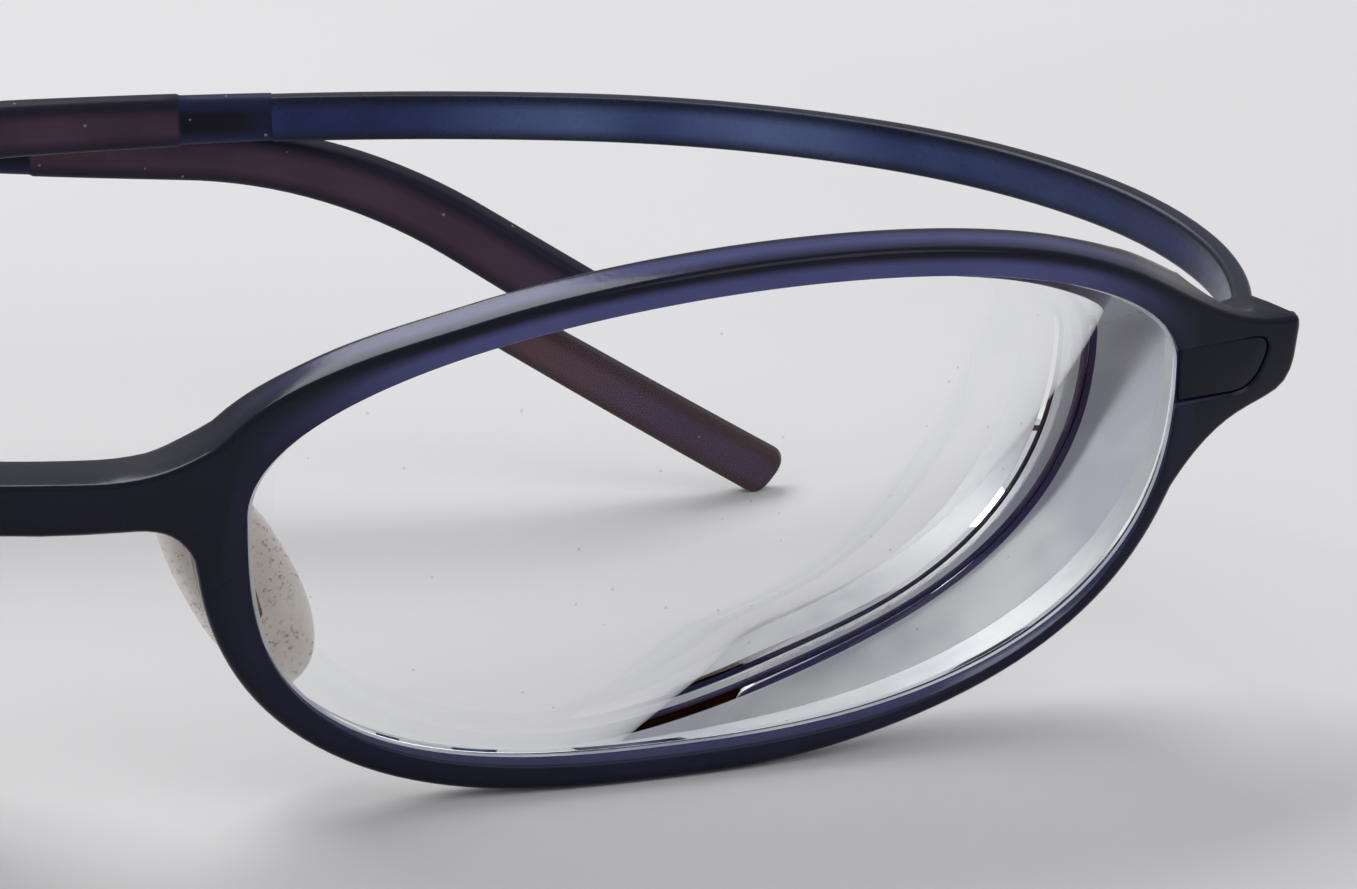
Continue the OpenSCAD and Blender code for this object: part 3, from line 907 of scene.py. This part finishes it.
def make_peg(side):
    """The stub on the back of the rim that the nose pad is pushed onto."""
    deselect()
    bpy.ops.mesh.primitive_cube_add(size=1)
    peg = bpy.context.object
    at = Vector((NOSE_GAP / 2 - 1, 3.2, EYE_HEIGHT - 3.4))
    for corner in peg.data.vertices:
        place = (corner.co.x * 1.2, 1.1 + 4.2 * corner.co.y, corner.co.z * 3.0)
        corner.co = on_table(at + rotate_y(place, -14), side)
    bpy.ops.object.mode_set(mode="EDIT")
    bpy.ops.mesh.select_all(action="SELECT")
    bpy.ops.mesh.normals_make_consistent(inside=False)
    bpy.ops.mesh.bevel(offset=0.3 * MM, segments=3, affect="EDGES")
    bpy.ops.object.mode_set(mode="OBJECT")
    return peg


def combine(obj, other, how="DIFFERENCE"):
    """Cuts the other body out of the piece, or adds it, and removes it."""
    use_modifier(obj, "BOOLEAN", object=other, operation=how, solver="EXACT")
    bpy.data.objects.remove(other)


def mark_painted_glow(front):
    """Marks where light is painted into the front's colour: as light shining through the thin upper part of
    both rims on their face, a little all round, as a painted reflection on their top, and as painted light
    inside the groove round the lens opening; less at their edges."""
    painted_glow = front.data.attributes.new("painted_glow", "FLOAT", "POINT")
    opening = KDTree(360)
    for k in range(360):
        opening.insert((*eye_point(k), 0), k)
    opening.balance()
    for k, corner in enumerate(front.data.vertices):
        place = Vector((abs(corner.co.x), corner.co.y, corner.co.z)) / MM - REST_SHIFT
        place = rotate_x(place, -REST_LEAN)
        deep = place.y - face_depth(place.x, place.z)
        u, _, v = rotate_x(rotate_z(place - EYE_CENTRE, -WRAP), -EYE_LEAN)
        away = opening.find((u, v, 0))[2]  # from the lens opening
        angle = math.degrees(math.atan2(v, u))
        # Painted light only on the upper rims, where light from above comes through; top is a painted
        # reflection, inside is painted light in the groove
        upper = ease(angle, 12, 40) * (1 - ease(angle, 140, 168))
        face = (1 - ease(away, 0.75, 1.35)) * (1 - ease(deep, 0.2, 0.8))
        top = 0.8 * ease(away, 1.45, 1.7) * ease(deep, 0.3, 0.9) * (1 - ease(deep, 1.9, 2.5))
        inside = 0.7 * (1 - ease(away, 0.45, 0.6)) * ease(deep, 0.1, 0.3)
        painted_glow.data[k].value = max(face * (0.08 + 0.92 * upper), top * upper, inside)


def make_front():
    """The whole front: half its face, thickened and mirrored, with pegs, pockets, slots and hollows."""
    spots = front_spots()
    front = make_sheet(spots)
    thicken(front, spots)
    soften(front)
    bpy.ops.object.mode_set(mode="OBJECT")
    use_modifier(front, "MIRROR", use_mirror_merge=True, merge_threshold=TOUCHING)
    for side in (1, -1):
        combine(front, make_peg(side), "UNION")
        combine(front, through_panel("pocket", side, ((-0.6, POCKET_IN, 0.14), (0.0, POCKET_IN, 0.14),
                                                      (0.14, POCKET_IN, 0.0), (0.45, POCKET_IN, 0.0))))
        combine(front, through_panel("slot", side, ((0.3, SLOT_IN, -0.02), (6.0, SLOT_IN, -0.02))))
        combine(front, make_scoop(side))
    use_modifier(front, "BEVEL", width=EDGE_RADIUS * MM, segments=4, limit_method="WEIGHT",
                 use_clamp_overlap=False, loop_slide=False)
    dress(front, NAVY)
    # Marks where light and a reflection are painted into the navy
    mark_painted_glow(front)
    smooth_faces(front, 40)
    return front


# Lenses

def sphere_depth(centre, radius, u, v):
    return centre.y - math.sqrt(radius ** 2 - (u - centre.x) ** 2 - (v - centre.z) ** 2)


def lens_depths(u, v, share, angle):
    """Depth of the lens's front and back surfaces at a place, `share` of the way from the optical centre to
    the edge. Towards the lower outer edge the back steepens: the dark rim is seen mirrored in it there."""
    front_centre = Vector((0, LENS_SET_BACK + LENS_FRONT_RADIUS, 0))
    ou, ov = OPTICAL_CENTRE
    optic = Vector((ou, sphere_depth(front_centre, LENS_FRONT_RADIUS, ou, ov), ov))
    inwards = (front_centre - optic).normalized()
    back_centre = optic + inwards * (LENS_CENTRE_THICKNESS + LENS_BACK_RADIUS)
    front = sphere_depth(front_centre, LENS_FRONT_RADIUS, u, v)
    back = sphere_depth(back_centre, LENS_BACK_RADIUS, u, v)
    if share > STEEP_FROM:
        reach = math.hypot(u - ou, v - ov) / share * (1 - STEEP_FROM)
        steep = STEEP * swell(angle, STEEP_TOWARDS, STEEP_SPREAD)
        back += steep * reach / STEEP_POWER * ((share - STEEP_FROM) / (1 - STEEP_FROM)) ** STEEP_POWER
    return front, back


def make_lens(name, side):
    """Clear body, polished where the rim holds its edge and ground matte behind it, with the ridge that
    sits in the rim's groove."""
    around = 240
    shares = [0.0, 0.03] + [k / 24 for k in range(1, 24)] + [0.98]
    centre = Vector(OPTICAL_CENTRE)

    def depth_at(place, back, share):
        u, v = place.x, place.y
        angle = math.degrees(math.atan2(v - centre.y, u - centre.x))
        return lens_depths(u, v, share, angle)[back]

    def ring(share, back, inset=LENS_GAP):
        places = []
        for k in range(around):
            p = centre + (Vector(eye_point(360 * k / around, -inset)) - centre) * share
            places.append(at_eye((p.x, depth_at(p, back, share), p.y), side))
        return places

    def edge_ring(deep, grow):
        places = []
        for k in range(around):
            u, v = eye_point(360 * k / around, grow)
            back = at_eye((u, depth_at(Vector((u, v)), 1, 1.0) - 0.1, v), side)
            place = on_table(onto_face(u, v, deep), side)
            places.append(place if place.y < back.y else back)
        return places

    rings = [ring(share, 0) for share in shares] + [ring(1.0, 0, 0.25), ring(1.0, 0)]
    clear_to = len(rings) - 1
    rings += [edge_ring(1.42, -LENS_GAP), edge_ring(1.7, RIDGE_HEIGHT), edge_ring(1.8, RIDGE_HEIGHT),
              edge_ring(2.08, -LENS_GAP), edge_ring(RIM_DEPTH + 0.05, -LENS_GAP)]
    ground_from = len(rings) - 1
    rings += [ring(share, 1) for share in [1.0] + shares[::-1]]
    lens = pull_through(name, rings)
    dress(lens, CLEAR)
    lens.data.materials.append(FROSTED)
    step = lens.data.attributes["step"].data
    for face in lens.data.polygons:
        steps = [step[k].value for k in face.vertices]
        on_bevel = clear_to - 1 <= min(steps) and max(steps) <= clear_to + 1
        if on_bevel or min(steps) == ground_from == max(steps) - 1:
            face.material_index = 1
    smooth_faces(lens, 30)
    return lens


# Nose pads

def make_pad(name, side):
    """Oval soft pad: thin at its rim, domed towards the nose."""
    middle = Vector((NOSE_GAP / 2 - 1.95, 7.05, EYE_HEIGHT - 2.65))
    fullness = 2.3
    lean_x, lean_y, lean_z = PAD_LEAN

    def ring(share, depth):
        places = []
        for k in range(48):
            a = math.radians(7.5 * k)
            c, s = math.cos(a), math.sin(a)
            r = (abs(c) ** fullness + abs(s) ** fullness) ** (-1 / fullness)
            place = Vector((c * r * share * PAD_WIDTH / 2, depth * PAD_THICKNESS / 2,
                            s * r * share * PAD_LENGTH / 2))
            place = rotate_z(rotate_y(rotate_x(place, lean_x), lean_y), lean_z)
            places.append(on_table(place + middle, side))
        return places

    profile = ((0, -1), (0.5, -1), (0.86, -1), (0.95, -0.8), (0.99, -0.5), (1.0, -0.25), (0.985, 0.0),
               (0.93, 0.25), (0.8, 0.55), (0.6, 0.8), (0.3, 0.95), (0, 1.0))
    pad = pull_through(name, [ring(share, depth) for share, depth in profile])
    use_modifier(pad, "SUBSURF", levels=1, render_levels=1)
    dress(pad, BEIGE)
    smooth_faces(pad, 60)
    return pad


# Temples

def make_temple(name, side):
    """The blade, with the tenon that shows as the panel on the end and the tongue inside the tip."""
    path = TemplePath(side)
    stops = [BLADE_START + 0.5 * k for k in range(24)] + [15 + 1.6 * k for k in range(42)] + [BLADE_LENGTH]
    rings = []
    for s in stops:
        thinned = ease(s, BLADE_START, BLADE_START + HEEL_LENGTH)
        thick = HEEL_THICKNESS + (BLADE_THICKNESS - HEEL_THICKNESS) * thinned
        rings.append(path.ring(s, rounded_section(-thick, 0, BLADE_HEIGHT, BLADE_EDGE)))
    temple = pull_through(name, rings)
    # Painted light in the middle of the blade's height and painted shade at its edges, with painted light
    # palest about 50 mm along
    mark_painted_light_middle(temple, rounded_section(-BLADE_THICKNESS, 0, BLADE_HEIGHT, BLADE_EDGE))
    mark(temple, "light", lambda rank, step: 1 - ease(abs(stops[step] - 50), 4, 32))
    dress(temple, BLUE)

    tenon = through_panel("tenon", side, ((4.4, TENON_IN, -0.06), (0.42, TENON_IN, -0.06),
                                          (0.42, PANEL_IN, -0.03), (0.24, PANEL_IN, -0.03),
                                          (0.17, PANEL_IN, -0.08), (0.15, PANEL_IN, -0.16)))
    dress(tenon, NAVY)

    rings = []
    for s, less in ((BLADE_LENGTH - 0.3, 0), (BLADE_LENGTH + 0.4, 0), (BLADE_LENGTH + 1.5, 0),
                    (BLADE_LENGTH + 3, 0), (SLEEVE_END - 0.4, 0), (SLEEVE_END - 0.1, 0.06),
                    (SLEEVE_END, 0.3)):
        inner = tip_section(s)[0] + 0.2
        section = rounded_section(inner + less / 4, inner + TONGUE_THICKNESS, TONGUE_HEIGHT - less, 0.12)
        rings.append(path.ring(s, section))
    tongue = pull_through("tongue", rings)
    dress(tongue, NAVY)

    deselect()
    for part in (tongue, tenon, temple):
        part.select_set(True)
    bpy.context.view_layer.objects.active = temple
    bpy.ops.object.join()
    smooth_faces(temple, 50)
    return temple


SLEEVE_STOPS = (SLEEVE_END - 0.1, SLEEVE_END + 0.15)


def on_sleeve(s):
    """1 over the tongue, where the tip is a thin sleeve, and 0 after it."""
    return 1 - ease(s, *SLEEVE_STOPS)


def tip_section(s):
    """Inner face, outer face and height of the tip at distance s, before its end is rounded."""
    grown = ease(s, BLADE_LENGTH, BEND_START + BEND_RADIUS / 2)
    along = (s - BLADE_LENGTH) / (TEMPLE_LENGTH - BLADE_LENGTH)
    thick = BLADE_THICKNESS + TIP_LAP + (TIP_THICKNESS - BLADE_THICKNESS - TIP_LAP) * grown
    middle = TIP_LAP / 2 - BLADE_THICKNESS / 2
    thinner = TIP_STEP * 0.4 * on_sleeve(s)
    high = BLADE_HEIGHT + TIP_STEP - 2 * thinner + (TIP_HEIGHT - BLADE_HEIGHT - TIP_STEP) * along
    return middle - thick / 2 + thinner, middle + thick / 2 - thinner, high


def make_tip(name, side):
    """The soft tip: a sleeve over the tongue, then the solid ear bend with a rounded end."""
    path = TemplePath(side)
    end = TEMPLE_LENGTH - TIP_ROUND
    stops = [BLADE_LENGTH + k for k in range(6)] + list(SLEEVE_STOPS) + even(SLEEVE_END + 1, end, 43)
    stops += [end + TIP_ROUND * math.sin(math.radians(14 * k)) for k in range(1, 7)]
    rings = []
    for s in stops:
        inner, outer, high = tip_section(s)
        drop = TIP_ROUND * (1 - math.sqrt(1 - (max(s - end, 0) / TIP_ROUND) ** 2))
        thinner = drop * TIP_THICKNESS / TIP_HEIGHT / 2
        radius = min(TIP_EDGE, (outer - inner - 2 * thinner) / 2.6)
        section = rounded_section(inner + thinner, outer - thinner, high - 2 * drop, radius)
        rings.append(path.ring(s, section))
    tip = pull_through(name, rings)

    section = rounded_section(-TIP_THICKNESS / 2, TIP_THICKNESS / 2, TIP_HEIGHT, TIP_EDGE)

    def core(rank, step):
        """The tongue shows on the inner face, over the middle of its height."""
        out, up = section[rank]
        if out > 0 or stops[step] > SLEEVE_END:
            return 0
        along = 0.35 + 0.65 * ease(stops[step], BLADE_LENGTH, BLADE_LENGTH + 2.5)
        return along * (1 - ease(abs(up) / TIP_HEIGHT * 2, 0.4, 0.85))

    # Painted light in the middle of the height, painted shade at the edges
    mark_painted_light_middle(tip, section)
    mark(tip, "far", lambda rank, step: ease(stops[step], BEND_START + 20, TEMPLE_LENGTH - 8))
    mark(tip, "sleeve", lambda rank, step: on_sleeve(stops[step]))
    mark(tip, "core", core)
    dress(tip, PURPLE)
    smooth_faces(tip, 50)
    return tip


fit(make_front(), "front", "front_frame")
for side, word in ((1, "left"), (-1, "right")):
    fit(make_lens("lens_clear_" + word, side), "front", "lens_" + word)
    fit(make_pad("pad_soft_" + word, side), "front", "nose_pad_" + word)

    temple = make_temple("blade_" + word, side)
    path = TemplePath(side)
    bend_from, bend_to = [on_table(path.place(s)[0], side) for s in (BENDS_FROM, BENDS_UNTIL)]
    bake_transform(temple, "front", word + "_temple", start=bend_from, end=bend_to)
    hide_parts("temple_" + word)

    fit(make_tip("tip_soft_" + word, side), word + "_temple", "temple_tip_" + word)


# Table, light and camera

def make_table():
    """A flat table that curves up far behind the glasses."""
    curves_from = 0.7
    deselect()
    bpy.ops.mesh.primitive_grid_add(x_subdivisions=40, y_subdivisions=40, size=3.0)
    table = bpy.context.object
    table.name = "table"
    for corner in table.data.vertices:
        if corner.co.y > curves_from:
            corner.co.z = 0.9 * (corner.co.y - curves_from) ** 2
    dress(table, pale_table())
    bpy.ops.object.shade_smooth()


LIGHT_AIM = Vector((0, 0, 0.01))


def soft_box(name, place, size, power):
    """A rectangular lamp that faces the glasses."""
    light = bpy.data.lights.new(name, "AREA")
    light.shape = "RECTANGLE"
    light.size, light.size_y = size
    light.energy = power
    lamp = bpy.data.objects.new(name, light)
    bpy.context.scene.collection.objects.link(lamp)
    lamp.location = place
    lamp.rotation_euler = (LIGHT_AIM - Vector(place)).to_track_quat("-Z", "Y").to_euler()


def make_light():
    """Even pale light from all round, with one large soft lamp behind the glasses and one in front."""
    world = bpy.data.worlds.new("studio")
    bpy.context.scene.world = world
    world.use_nodes = True
    sky = world.node_tree.nodes["Background"]
    sky.inputs["Color"].default_value = (0.93, 0.95, 1.0, 1)
    sky.inputs["Strength"].default_value = 0.55
    soft_box("window", (-0.35, 0.45, 0.75), (0.7, 0.5), 5.64)
    soft_box("fill", (0.5, -0.5, 0.6), (0.6, 0.6), 1.504)


def make_camera():
    """Stands where the photograph was taken from, in millimetres and degrees."""
    place = Vector((35.827, -361.229, 150.646))
    turn = (68.8896, 0.8187, -0.1277)
    camera = bpy.data.cameras.new("camera")
    camera.sensor_width = 36
    camera.lens = 173.67
    holder = bpy.data.objects.new("camera", camera)
    bpy.context.scene.collection.objects.link(holder)
    holder.location = place * MM
    holder.rotation_euler = [math.radians(a) for a in turn]
    camera.clip_start = 0.01
    bpy.context.scene.camera = holder


make_table()
make_light()
make_camera()
bpy.context.scene.view_settings.view_transform = "Standard"
